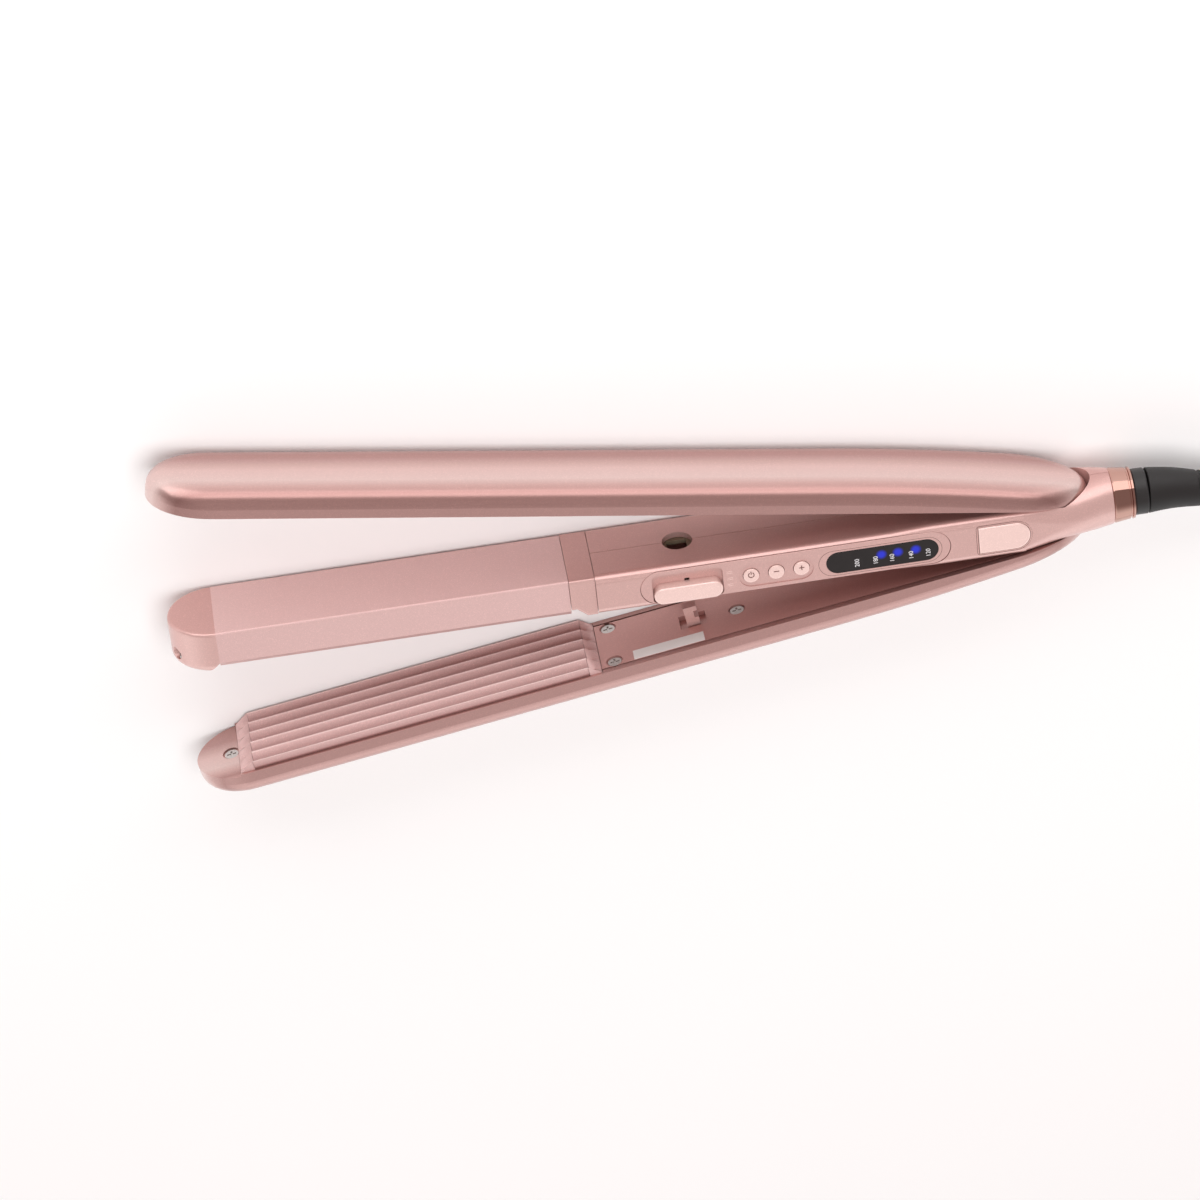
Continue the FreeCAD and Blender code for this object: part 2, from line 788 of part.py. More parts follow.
def cross_screws(side, spots):
    """Recessed cross-head screws whose heads face the middle arm."""
    screws = []
    for x, z, head_y in spots:
        low = head_y if side > 0 else -head_y - 0.5
        head = rod("Y", HEAD_RADIUS, 0.5, (x, low, MID + z))
        shank_low = head_y if side > 0 else -head_y - 3.2
        shank = rod("Y", 1.2, 3.2, (x, shank_low, MID + z))
        outer = span(side * (head_y - 0.5), side * (head_y + 0.35))
        slots = [
            box((x - a, x + a), outer, (MID + z - b, MID + z + b))
            for a, b in ((1.4, 0.3), (0.3, 1.4))
        ]
        screws.append(cut(fuse(head, shank), *slots))
    return group(*screws)


def latch_hook(side):
    """The hook that an arm drops through the handle into the latch bar."""
    x = d.latch_x
    post = box((x - 2.0, x + 2.0), span(side * 1.2, side * 9.4), (MID - 1.5, MID + 1.5))
    base = box((x - 5.5, x + 5.5), span(side * 9.1, side * 10.1), (MID - 6.0, MID + 6.0))
    notch = box((x + 0.8, x + 3.0), span(side * 2.8, side * 5.2), (MID - 2.0, MID + 2.0))
    return cut(fuse(post, base), notch)


def arm_screw_list():
    """Screw positions along an arm, each with the level of its head's outer face."""
    spots = [(x, z, 7.9) for x, z in SCREW_SPOTS]
    spots.append((TIP_SCREW_X, 0.0, 8.7))
    return spots


def upper_arm():
    arm = "upper"
    part("upper_shell", arm_shell(1, d.upper_back, d.nose_reach), arm)
    lug = (MID + d.lug_inner, MID + d.lug_outer)
    part("upper_inner_cover", inner_cover(1, lug, (MID - 3.3, MID + 3.3)), arm)
    tee = []
    for y, z in ((6.6, 12.3), (7.4, 12.3), (7.4, 11.2), (9.0, 11.2)):
        tee.append((y, MID + z))
    tee += [(y, MID * 2 - z) for y, z in reversed(tee)]
    plate = prism("YZ_Plane", tee, -238.5, 103.8)
    part("straightening_plate", rounded(plate, 0.4, lambda b: b.XLength > 50 and b.YMax < 6.7), arm)
    frame = box((-237.0, -136.0), (9.0, 10.8), (MID - 10.5, MID + 10.5))
    seat = box((-226.0, -149.0), (8.0, 12.0), (MID - 5.2, MID + 5.2))
    part("upper_plate_carrier", cut(frame, seat), arm)
    upper_heater = box((-225.0, -150.0), (9.0, 10.8), (MID - 5.0, MID + 5.0))
    part("upper_heater", group(upper_heater), arm)
    pads = [
        box((x, x + 10.0), (10.8, 13.7), (MID - 6.0, MID + 6.0)) for x in (-232.0, -153.0)
    ]
    part("upper_cushions", group(*pads), arm)
    part("upper_latch_hook", latch_hook(1), arm)
    part("upper_screws", cross_screws(1, arm_screw_list()), arm)


def end_piece(x_teeth, x_flat):
    """A saw-toothed end that slopes from the crimp profile down to the shell."""
    wires = []
    low = -8.6
    base = [(low, MID - 12.4), (low, MID + 12.4)]
    for x, top, root in (
        (x_teeth, d.arm_ridge_top, d.arm_ridge_root),
        (x_flat, -7.6, -7.9),
    ):
        sketch = doc.addObject("Sketcher::SketchObject", "Section")
        turn = FreeCAD.Rotation(V(0, 1, 0), V(0, 0, 1), V(1, 0, 0), "XYZ")
        sketch.Placement = FreeCAD.Placement(V(), turn)
        bind(sketch, "Placement.Base.x", x)
        draw(sketch, base + ridge_line(top, root, 12.4))
        wires.append(sketch)
    loft = doc.addObject("Part::Loft", "Loft")
    loft.Sections = wires
    loft.Solid = True
    loft.Ruled = True
    return loft


def lower_arm():
    arm = "lower"
    shell = arm_shell(-1, d.lower_back, d.lower_nose_reach)
    step = box((-260.0, -242.8), (-8.3, -6.0), (0.0, 27.0))
    seats = box((-242.8, -238.0), (-8.7, -6.0), (MID - 12.5, MID + 12.5))
    rear_seat = box((-135.2, -131.0), (-8.7, -6.0), (MID - 12.5, MID + 12.5))
    part("lower_shell", cut(shell, step, seats, rear_seat), arm)
    lug = (MID - d.lug_outer, MID - d.lug_inner)
    part("lower_inner_cover", inner_cover(-1, lug, (MID - 4.0, MID + 2.6)), arm)
    half = 12.4
    ridges = ridge_line(d.arm_ridge_top, d.arm_ridge_root, half)
    tee = [(-7.4, MID - half), (-7.4, MID - 11.2), (-9.0, MID - 11.2)]
    tee += [(-9.0, MID + 11.2), (-7.4, MID + 11.2), (-7.4, MID + half)]
    length = d.crimp_rear_x - d.crimp_tip_x
    part("crimp_plate", prism("YZ_Plane", tee + ridges, d.crimp_tip_x, length), arm)
    part("crimp_tip_piece", end_piece(d.crimp_tip_x - 0.1, d.end_piece_tip_x), arm)
    part("crimp_rear_piece", end_piece(d.crimp_rear_x + 0.1, d.end_piece_rear_x), arm)
    frame = box((-237.0, -136.0), (-10.8, -9.0), (MID - 10.5, MID + 10.5))
    seat = box((-226.0, -149.0), (-12.0, -8.0), (MID - 5.2, MID + 5.2))
    part("lower_plate_carrier", cut(frame, seat), arm)
    lower_heater = box((-225.0, -150.0), (-10.8, -9.0), (MID - 5.0, MID + 5.0))
    part("lower_heater", group(lower_heater), arm)
    pads = [
        box((x, x + 10.0), (-14.3, -10.8), (MID - 6.0, MID + 6.0)) for x in (-232.0, -153.0)
    ]
    part("lower_cushions", group(*pads), arm)
    part("lower_latch_hook", latch_hook(-1), arm)
    part("lower_screws", cross_screws(-1, arm_screw_list()), arm)
    label = box((-121.0, -99.3), (-7.5, -7.42), (MID + 6.3, MID + 10.7))
    part("blank_label", group(label), arm)


# ---- tail, cord and plug -------------------------------------------------------------


BOOT_STATIONS = (
    (V(38.7, 0.0, 13.5), 6.85),
    (V(46.0, -0.5, 13.4), 6.15),
    (V(54.0, -2.3, 12.9), 5.4),
    (V(64.0, -5.1, 11.4), 4.8),
    (V(74.0, -8.4, 9.1), 4.3),
    (V(84.0, -12.6, 6.6), 3.8),
)

CORD_ROUTE = [
    V(84.0, -12.6, 6.6),
    V(97.5, -18.8, 3.6),
    V(113.0, -28.8, 3.4),
    V(127.5, -38.9, 3.6),
]

# from the coil's upper layer down to the back of the plug
END_ROUTE = [
    V(198.5, 6.2, 9.6),
    V(196.7, 17.0, 8.8),
    V(195.95, 28.79, 7.0),
    V(193.63, 37.45, 7.0),
]


def tail_pieces():
    end = d.tail_end_x + 0.1
    ring = turned(
        [
            (end, 5.5),
            (end, 8.0),
            (end + 0.6, 8.3),
            (end + 5.0, 7.75),
            (end + 5.2, 7.3),
            (end + 5.6, 7.3),
            (end + 5.8, 7.8),
            (end + 6.4, 7.7),
            (end + 6.4, 4.1),
            (end + 4.1, 4.1),
            (end + 4.1, 5.5),
        ]
    )
    part("plated_ring", ring)
    drum = turned(
        [
            (end + 6.6, 4.2),
            (end + 6.6, 6.6),
            (end + 7.0, d.drum_radius),
            (end + 10.3, d.drum_radius),
            (end + 10.7, 6.6),
            (end + 10.7, 4.2),
        ]
    )
    part("swivel_drum", drum)
    sleeve = turned(
        [(10.0, 0.0), (10.0, 3.1), (28.0, 3.1), (31.8, 3.1), (31.8, 4.0), (40.0, 4.0), (40.0, 0.0)]
    )
    sections = []
    count = len(BOOT_STATIONS)
    for i, (centre, radius) in enumerate(BOOT_STATIONS):
        before = BOOT_STATIONS[max(i - 1, 0)][0]
        after = BOOT_STATIONS[min(i + 1, count - 1)][0]
        along = V(1, 0, 0) if i == 0 else after - before
        if i == count - 1:
            along = CORD_ROUTE[1] - CORD_ROUTE[0]
        sections.append(Part.Wire(Part.makeCircle(radius, centre, along)))
    boot = doc.addObject("Part::Feature", "Boot")
    boot.Shape = Part.makeLoft(sections, True, False).fuse(solid_of(sleeve))
    part("cord_boot", boot)
    wires = [rod("X", 0.6, 32.0, (-24.0, y, MID)) for y in (4.6, -4.6)]
    part("supply_wires", group(*wires))


def solid_of(feature):
    doc.recompute()
    return feature.Shape.copy()


def rounded_path(points):
    """Straight runs joined by tangent arcs."""
    edges = []
    start = points[0]
    for i in range(1, len(points) - 1):
        corner = points[i]
        back = points[i - 1] - corner
        ahead = points[i + 1] - corner
        turn = math.pi - back.getAngle(ahead)
        shorter = min(back.Length, ahead.Length)
        tangent = 0.45 * shorter
        radius = tangent / math.tan(turn / 2)
        print(f"cord arc {i}: radius {radius:.1f}")
        back.normalize()
        ahead.normalize()
        first = corner + back * tangent
        last = corner + ahead * tangent
        towards = (back + ahead).normalize()
        centre = corner + towards * (radius / math.cos(turn / 2))
        middle = centre - towards * radius
        edges.append(Part.LineSegment(start, first).toShape())
        edges.append(Part.Arc(first, middle, last).toShape())
        start = last
    edges.append(Part.LineSegment(start, points[-1]).toShape())
    return Part.Wire(edges)


def cord_tube(name, route):
    radius = number(d.cord_radius)
    path = rounded_path(route)
    ring = Part.makeCircle(radius, route[0], route[1] - route[0])
    tube = path.makePipeShell([Part.Wire(ring)], True, False)
    expected = math.pi * radius**2 * path.Length
    print(f"{name} tube {path.Length:.1f} long, volume ratio {tube.Volume / expected:.4f}")
    cord = doc.addObject("Part::Feature", "Cord")
    cord.Shape = tube
    part(name, cord)


def coil_and_plug():
    base = (d.coil_x, d.coil_y, d.coil_lift)
    height = d.cord_radius * 4
    ring = cut(
        rod("Z", d.coil_outer, height, base),
        rod("Z", d.coil_inner, height + 2.0, (d.coil_x, d.coil_y, d.coil_lift - 1.0)),
    )
    ring = rounded(ring, 2.5, lambda b: b.ZLength < 0.01)
    part("cord_coil", ring)
    low = d.coil_inner - 1.6
    high = d.coil_outer + 0.9
    band = (d.coil_y - 4.0, d.coil_y + 4.0)
    inside = (d.coil_y - 5.0, d.coil_y + 5.0)
    outer_box = box((d.coil_x - high, d.coil_x - low), band, (0.0, height + 1.5))
    inner_box = box(
        (d.coil_x - high + 0.6, d.coil_x - low - 0.6), inside, (0.6, height + 0.9)
    )
    part("cord_tie", cut(outer_box, inner_box))
    plug()


PLUG_BACK = V(190.0, 51.0, 7.0)
PLUG_TURN = 105.0


def plug():
    """A flat two-pin plug lying beside the coil, its pins along its own X axis."""
    place = FreeCAD.Placement(PLUG_BACK, FreeCAD.Rotation(V(0, 0, 1), PLUG_TURN))
    outline = []
    for x, half in ((0.0, 5.0), (16.0, 7.5), (27.0, 13.0), (33.0, 13.3)):
        outline.append((x, half))
    outline += [(x, -half) for x, half in reversed(outline)]
    slab = rounded(prism("XY_Plane", outline, -6.5, 13.0), 2.5, lambda b: b.XLength > 3)
    tail_cone = doc.addObject("Part::Cone", "TailCone")
    tail_cone.Placement = FreeCAD.Placement(V(-14, 0, 0), AXIS_TURN["X"])
    tail_cone.Radius1 = 3.4
    tail_cone.Radius2 = 5.6
    tail_cone.Height = 15
    housing = fuse(slab, tail_cone)
    pin_half = 9.3
    sides = (pin_half, -pin_half)
    sockets = [rod("X", 1.6, 6.0, (28.0, y, 0.0)) for y in sides]
    plug_body = part("plug_body", cut(housing, *sockets))
    plug_body.Placement = place
    pins = []
    for y in sides:
        shank = rounded(rod("X", 2.0, 19.0, (33.0, y, 0.0)), 0.8, lambda b: b.XMin > 51)
        pins.append(fuse(shank, rod("X", 1.6, 6.0, (28.0, y, 0.0))))
    plug_pins = part("plug_pins", group(*pins))
    plug_pins.Placement = place


# ---- build, check and write ----------------------------------------------------------


def build():
    handle_halves()
    handle_screws()
    hinge_pieces()
    torsion_spring("upper_spring", 1)
    torsion_spring("lower_spring", -1)
    core_pieces()
    tip_cap()
    collar()
    control_panel()
    lock()
    power_board()
    upper_arm()
    lower_arm()
    tail_pieces()
    cord_tube("cord", CORD_ROUTE)
    cord_tube("cord_end", END_ROUTE)
    coil_and_plug()
    doc.recompute()


def check():
    faults = []
    for obj in doc.Objects:
        if "Invalid" in obj.State or "Error" in obj.State:
            faults.append(f"{obj.Name} ({obj.Label}): {obj.State}")
    for obj in nodes:
        if obj.Shape.isNull() or not obj.Shape.isValid() or not obj.Shape.Solids:
            faults.append(f"{obj.Label}: bad shape")
    if faults:
        raise SystemExit("\n".join(faults))


def write():
    os.makedirs("parts", exist_ok=True)
    for obj in nodes:
        obj.Shape.exportStep(f"parts/{obj.Label}.step")
    print(f"{len(nodes)} sub-parts written")


build()
check()
write()
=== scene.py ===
"""Looks of a rose-gold three-arm hair styler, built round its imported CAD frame.

Metres, in the frame of the CAD part: +X from the tips to the cord, +Y toward the upper arm, +Z up.
"""

import json
import math

import bmesh
import bpy
from mathutils import Matrix, Vector

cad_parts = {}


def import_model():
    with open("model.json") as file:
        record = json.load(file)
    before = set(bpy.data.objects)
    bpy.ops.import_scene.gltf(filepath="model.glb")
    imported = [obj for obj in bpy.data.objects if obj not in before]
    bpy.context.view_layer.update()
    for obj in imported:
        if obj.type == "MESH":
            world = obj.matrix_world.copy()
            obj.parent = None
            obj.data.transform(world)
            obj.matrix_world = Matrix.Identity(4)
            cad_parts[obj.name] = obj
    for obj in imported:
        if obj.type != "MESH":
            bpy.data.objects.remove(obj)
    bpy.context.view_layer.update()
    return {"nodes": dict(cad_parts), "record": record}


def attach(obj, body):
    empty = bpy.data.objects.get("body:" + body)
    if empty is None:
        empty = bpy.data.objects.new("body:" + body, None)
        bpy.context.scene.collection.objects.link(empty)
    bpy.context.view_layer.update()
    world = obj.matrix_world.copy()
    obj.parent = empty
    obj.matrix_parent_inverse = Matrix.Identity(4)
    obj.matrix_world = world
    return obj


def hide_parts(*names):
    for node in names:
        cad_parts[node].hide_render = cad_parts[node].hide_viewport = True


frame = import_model()
nodes = frame["nodes"]
MM = 0.001
MID = 13.5  # height of the tool's middle plane above the floor, in millimetres
LOWER_ARM_ANGLE = -8.88  # of the open lower arm against the handle, in degrees


# ---- materials -----------------------------------------------------------------------


class Look:
    """A node material with a Principled shader and a few short ways to add to it."""

    def __init__(self, name, **sockets):
        self.material = bpy.data.materials.new(name)
        self.material.use_nodes = True
        self.tree = self.material.node_tree
        self.shader = self.tree.nodes["Principled BSDF"]
        for key, value in sockets.items():
            self.shader.inputs[key.replace("_", " ")].default_value = value
        self.coords = self.node("ShaderNodeTexCoord").outputs["Object"]
        self.bump = None

    def node(self, kind, links=(), **values):
        made = self.tree.nodes.new(kind)
        for key, value in values.items():
            setattr(made, key, value)
        for key, value in dict(links).items():
            if isinstance(value, bpy.types.NodeSocket):
                self.tree.links.new(value, made.inputs[key])
            else:
                made.inputs[key].default_value = value
        return made

    def scaled(self, scale):
        return self.node(
            "ShaderNodeMapping", {"Vector": self.coords, "Scale": scale}
        ).outputs["Vector"]

    def noise(self, scale, detail=2.0, rough=0.5, stretch=None):
        vector = self.scaled(stretch) if stretch else self.coords
        return self.node(
            "ShaderNodeTexNoise",
            {"Vector": vector, "Scale": scale, "Detail": detail, "Roughness": rough},
        ).outputs["Fac"]

    def cells(self, scale):
        return self.node(
            "ShaderNodeTexVoronoi", {"Vector": self.coords, "Scale": scale}
        ).outputs["Color"]

    def ramp(self, fac, *stops):
        made = self.node("ShaderNodeValToRGB", {"Fac": fac})
        ramp = made.color_ramp
        while len(ramp.elements) < len(stops):
            ramp.elements.new(0.5)
        for element, (place, colour) in zip(ramp.elements, stops):
            element.position = place
            element.color = (*colour, 1.0) if len(colour) == 3 else colour
        return made.outputs["Color"]

    def between(self, fac, low, high):
        return self.node(
            "ShaderNodeMapRange", {"Value": fac, "To Min": low, "To Max": high}
        ).outputs["Result"]

    def mix(self, fac, first, second, blend="MIX"):
        made = self.node("ShaderNodeMix", data_type="RGBA", blend_type=blend)
        for key, value in (("Factor", fac), ("A", first), ("B", second)):
            name = [s for s in made.inputs if s.name == key and s.enabled][0]
            if isinstance(value, bpy.types.NodeSocket):
                self.tree.links.new(value, name)
            else:
                name.default_value = value
        return [s for s in made.outputs if s.enabled][0]

    def colour(self, socket):
        self.tree.links.new(socket, self.shader.inputs["Base Color"])
        return self

    def rough(self, socket):
        self.tree.links.new(socket, self.shader.inputs["Roughness"])
        return self

    def relief(self, height, strength, distance):
        links = {"Height": height, "Strength": strength, "Distance": distance}
        if self.bump:
            links["Normal"] = self.bump
        self.bump = self.node("ShaderNodeBump", links).outputs["Normal"]
        self.tree.links.new(self.bump, self.shader.inputs["Normal"])
        return self


def paint(name, light, dark, metallic, low_rough, high_rough, flake, coat, shade=None):
    """Metallic lacquer: fine flakes, a slow drift of tone and a thin clear coat.

    The shade, where given, is painted shade and highlight multiplied into the tone: across a
    shell's back and long edges, on a bar's upright sides and along a trough toward the hinge.
    """
    look = Look(name, Metallic=metallic, Coat_Weight=coat, Coat_Roughness=0.12)
    grain = look.cells(5200)
    drift = look.noise(18, 3)
    tone = look.mix(look.between(drift, 0.15, 0.85), (*dark, 1), (*light, 1))
    value = look.node("ShaderNodeSeparateColor", {"Color": grain}).outputs["Red"]
    fleck = look.ramp(value, (0.0, (0.94,) * 3), (0.86, (1.0,) * 3), (1.0, (1.12,) * 3))
    if shade:
        tone = look.mix(1.0, tone, shade(look), "MULTIPLY")
    look.colour(look.mix(1.0, tone, fleck, "MULTIPLY"))
    look.rough(look.between(look.noise(900, 4, 0.6), low_rough, high_rough))
    look.relief(look.noise(4200, 1), flake, 0.00002)
    return look.material


def along(look, axis, first, last):
    """0 to 1 between two places along an axis, in millimetres."""
    place = look.node("ShaderNodeSeparateXYZ", {"Vector": look.coords}).outputs[axis]
    links = {"Value": place, "From Min": first * MM, "From Max": last * MM}
    return look.node("ShaderNodeMapRange", links).outputs["Result"]


def painted_edge_shade_and_highlight(look):
    """Painted shade and highlight: darker toward the floor and the back's rounded edge, a lighter
    band between.
    """
    return look.ramp(
        along(look, "Z", 0.0, 2 * MID),
        (0.0, (0.56, 0.44, 0.42)),
        (0.27, (0.64, 0.54, 0.53)),
        (0.50, (1.0, 1.03, 1.03)),
        (0.70, (1.02, 1.12, 1.12)),
        (0.82, (0.86, 0.80, 0.79)),
        (0.91, (0.62, 0.50, 0.49)),
        (1.0, (0.92, 0.81, 0.80)),
    )


def side_shade(look):
    """Painted fall-off: darker on the upright sides of the handle than on its face."""
    way = look.node("ShaderNodeNewGeometry").outputs["Normal"]
    upright = look.node("ShaderNodeSeparateXYZ", {"Vector": way}).outputs["Z"]
    tilt = look.node("ShaderNodeMath", {0: upright}, operation="ABSOLUTE").outputs["Value"]
    return look.ramp(tilt, (0.05, (0.80, 0.70, 0.69)), (0.75, (1.0, 1.0, 1.0)))


def trough_shade(look):
    """Painted fall-off: darker where an arm's inside narrows toward the hinge."""
    return look.ramp(
        along(look, "X", -130.0, 5.0),
        (0.0, (1.0, 1.0, 1.0)),
        (0.35, (0.92, 0.86, 0.85)),
        (1.0, (0.58, 0.42, 0.40)),
    )


rose_shell = paint(
    "rose_lacquer",
    light=(0.76, 0.53, 0.50),
    dark=(0.73, 0.50, 0.47),
    metallic=0.85,
    low_rough=0.28,
    high_rough=0.34,
    flake=0.08,
    coat=0.35,
    shade=painted_edge_shade_and_highlight,
)
rose_handle = paint(
    "rose_handle",
    light=(0.78, 0.51, 0.475),
    dark=(0.75, 0.48, 0.445),
    metallic=0.50,
    low_rough=0.26,
    high_rough=0.32,
    flake=0.08,
    coat=0.40,
    shade=side_shade,
)
# a darker copy of the rose lacquer: painted shade for the arms' insides, with more toward the
# hinge
rose_inside_painted_shade = paint(
    "rose_inside_painted_shade",
    light=(0.68, 0.39, 0.36),
    dark=(0.64, 0.36, 0.33),
    metallic=0.50,
    low_rough=0.30,
    high_rough=0.36,
    flake=0.08,
    coat=0.30,
    shade=trough_shade,
)
rose_plate = paint(
    "rose_plate_coat",
    light=(0.76, 0.52, 0.50),
    dark=(0.73, 0.49, 0.47),
    metallic=0.35,
    low_rough=0.36,
    high_rough=0.44,
    flake=0.30,
    coat=0.10,
)
gloss_pink = paint(
    "gloss_pink",
    light=(0.93, 0.69, 0.64),
    dark=(0.91, 0.66, 0.61),
    metallic=0.25,
    low_rough=0.14,
    high_rough=0.20,
    flake=0.03,
    coat=0.7,
)


def plated():
    look = Look("rose_plating", Metallic=1.0)
    look.colour(look.mix(look.noise(60, 2), (0.60, 0.36, 0.305, 1), (0.56, 0.33, 0.275, 1)))
    look.rough(look.between(look.noise(700, 3), 0.04, 0.08))
    look.relief(look.noise(260, 1), 0.05, 0.00004)
    return look.material


def rubber(name, tone, low_rough, high_rough):
    look = Look(name)
    grain = look.noise(2600, 4, 0.65)
    light = tuple(c * 1.5 for c in tone)
    look.colour(look.mix(grain, (*tone, 1), (*light, 1)))
    look.rough(look.between(look.noise(120, 3), low_rough, high_rough))
    look.relief(grain, 0.25, 0.00004)
    return look.material


def metal(name, light, dark, low_rough, high_rough):
    look = Look(name, Metallic=1.0)
    scratch = look.noise(1, 5, 0.7, (900, 900, 160))
    look.colour(look.mix(scratch, (*dark, 1), (*light, 1)))
    look.rough(look.between(look.noise(1400, 4), low_rough, high_rough))
    look.relief(scratch, 0.08, 0.00002)
    return look.material


def moulded(name, light, dark, low_rough, high_rough):
    look = Look(name)
    look.colour(look.mix(look.noise(300, 4, 0.6), (*dark, 1), (*light, 1)))
    look.rough(look.between(look.noise(900, 3), low_rough, high_rough))
    look.relief(look.noise(2200, 2), 0.15, 0.00003)
    return look.material


plating = plated()
black_rubber = rubber("black_rubber", (0.012, 0.011, 0.011), 0.50, 0.62)
black_plastic = rubber("black_plastic", (0.016, 0.015, 0.015), 0.38, 0.48)
window_glass = moulded("smoked_window", (0.045, 0.040, 0.040), (0.032, 0.028, 0.028), 0.10, 0.16)
led_bar = moulded("led_diffuser", (0.70, 0.74, 0.85), (0.60, 0.64, 0.78), 0.4, 0.5)
board = moulded("green_board", (0.03, 0.20, 0.08), (0.02, 0.12, 0.05), 0.35, 0.5)
switch = moulded("switch_body", (0.05, 0.05, 0.055), (0.03, 0.03, 0.035), 0.35, 0.5)
steel = metal("nickel_steel", (0.72, 0.70, 0.68), (0.55, 0.53, 0.51), 0.18, 0.30)
spring_steel = metal("spring_wire", (0.50, 0.50, 0.51), (0.38, 0.38, 0.39), 0.25, 0.38)
heater = moulded("ceramic_heater", (0.86, 0.83, 0.76), (0.76, 0.72, 0.64), 0.5, 0.65)
carrier = moulded("filled_nylon", (0.30, 0.26, 0.18), (0.22, 0.18, 0.12), 0.5, 0.65)
silicone = moulded("red_silicone", (0.55, 0.14, 0.08), (0.42, 0.09, 0.05), 0.5, 0.62)
copper = metal("copper_wire", (0.80, 0.38, 0.20), (0.62, 0.27, 0.14), 0.25, 0.4)
label = moulded("label_paper", (0.80, 0.78, 0.76), (0.74, 0.72, 0.70), 0.4, 0.5)

SLOT_LOOKS = {
    "rose_shell": rose_shell,
    "rose_plate": rose_plate,
    "gloss_pink": gloss_pink,
    "plated_ring": plating,
    "black_rubber": black_rubber,
    "black_plastic": black_plastic,
    "window": window_glass,
    "led_bar": led_bar,
    "board": board,
    "switch": switch,
    "steel": steel,
    "spring_steel": spring_steel,
    "heater": heater,
    "carrier": carrier,
    "silicone": silicone,
    "copper": copper,
    "label": label,
}
NODE_LOOKS = dict.fromkeys(
    (
        "handle_far_half",
        "handle_control_half",
        "control_panel",
        "tip_cap",
        "heat_collar",
        "lower_latch_hook",
    ),
    rose_handle,
)
NODE_LOOKS["upper_inner_cover"] = rose_inside_painted_shade
NODE_LOOKS["lower_inner_cover"] = rose_inside_painted_shade


def ridged_coat():
    """The plate's coating, with painted shade in its ridges' valleys and a painted highlight on
    the crests.
    """
    look = Look("ridged_coat", Metallic=0.35)
    turn = math.radians(LOWER_ARM_ANGLE)
    valley, crest = -7.1 * MM, -4.5 * MM
    out_of_plate = (math.sin(turn), math.cos(turn), 0)
    height = look.node("ShaderNodeVectorMath", {1: out_of_plate}, operation="DOT_PRODUCT")
    look.tree.links.new(look.coords, height.inputs[0])
    links = {"Value": height.outputs["Value"], "From Min": valley, "From Max": crest}
    share = look.node("ShaderNodeMapRange", links).outputs["Result"]
    # painted shade in the valleys and painted highlight on the crests, by height above the plate
    tone = look.ramp(
        share,
        (0.0, (0.30, 0.15, 0.14)),
        (0.20, (0.60, 0.37, 0.355)),
        (0.85, (0.74, 0.50, 0.48)),
        (1.0, (0.92, 0.74, 0.71)),
    )
    grain = look.node("ShaderNodeSeparateColor", {"Color": look.cells(5200)}).outputs["Red"]
    fleck = look.ramp(grain, (0.0, (0.92,) * 3), (0.86, (1.0,) * 3), (1.0, (1.15,) * 3))
    look.colour(look.mix(1.0, tone, fleck, "MULTIPLY"))
    look.rough(look.between(look.noise(900, 4, 0.6), 0.42, 0.50))
    look.relief(look.noise(4200, 1), 0.3, 0.00002)
    return look.material


NODE_LOOKS["crimp_plate"] = ridged_coat()
for part in frame["record"]["subparts"]:
    thing = nodes[part["node"]]
    thing.data.materials.clear()
    look = NODE_LOOKS.get(part["node"], SLOT_LOOKS[part["material_slot"]])
    thing.data.materials.append(look)


# moulded edges of the soft plastic pieces
for name, width in (("plug_body", 0.9), ("cord_tie", 0.25)):
    soft_edge = nodes[name].modifiers.new("soft_edge", "BEVEL")
    soft_edge.width = width * MM
    soft_edge.segments = 3
    soft_edge.limit_method = "ANGLE"
    soft_edge.angle_limit = math.radians(35)


# ---- cord ----------------------------------------------------------------------------

ROUTE = [(84.0, -12.6, 6.6), (97.5, -18.8, 3.6), (113.0, -28.8, 3.4)]
END_ROUTE = [(196.7, 17.0, 8.8), (195.95, 28.79, 7.0), (193.62, 37.48, 7.0)]
COIL = (152.0, -2.0)


FIRST_TURN, TURN_BACK, LAST_TURN = -120.0, 1315.0, 2890.0  # winding angles in degrees
OUTER_BELOW, INNERMOST, OUTER_ABOVE = 45.3, 21.0, 47.2  # radii of the two spirals
LOWER_LAYER, LAYER_STEP = 3.6, 6.0  # height of the cord's middle, and between the layers
CLIMB = 140.0  # degrees that the cord takes to climb to the upper layer
TURN_STEP = 17.5


def cord_points():
    """The cord spirals inward on the floor, climbs, and spirals outward on top of itself."""
    points = list(ROUTE)
    angle = FIRST_TURN
    while angle <= LAST_TURN + 0.01:
        if angle < TURN_BACK:
            share = (angle - FIRST_TURN) / (TURN_BACK - FIRST_TURN)
            radius = OUTER_BELOW + (INNERMOST - OUTER_BELOW) * share
        else:
            share = (angle - TURN_BACK) / (LAST_TURN - TURN_BACK)
            radius = INNERMOST + (OUTER_ABOVE - INNERMOST) * share
        rise = min(max((angle - TURN_BACK + CLIMB / 2) / CLIMB, 0.0), 1.0)
        height = LOWER_LAYER + LAYER_STEP * rise * rise * (3 - 2 * rise)
        turn = math.radians(angle)
        points.append(
            (COIL[0] + radius * math.cos(turn), COIL[1] + radius * math.sin(turn), height)
        )
        angle += TURN_STEP
    return points + END_ROUTE


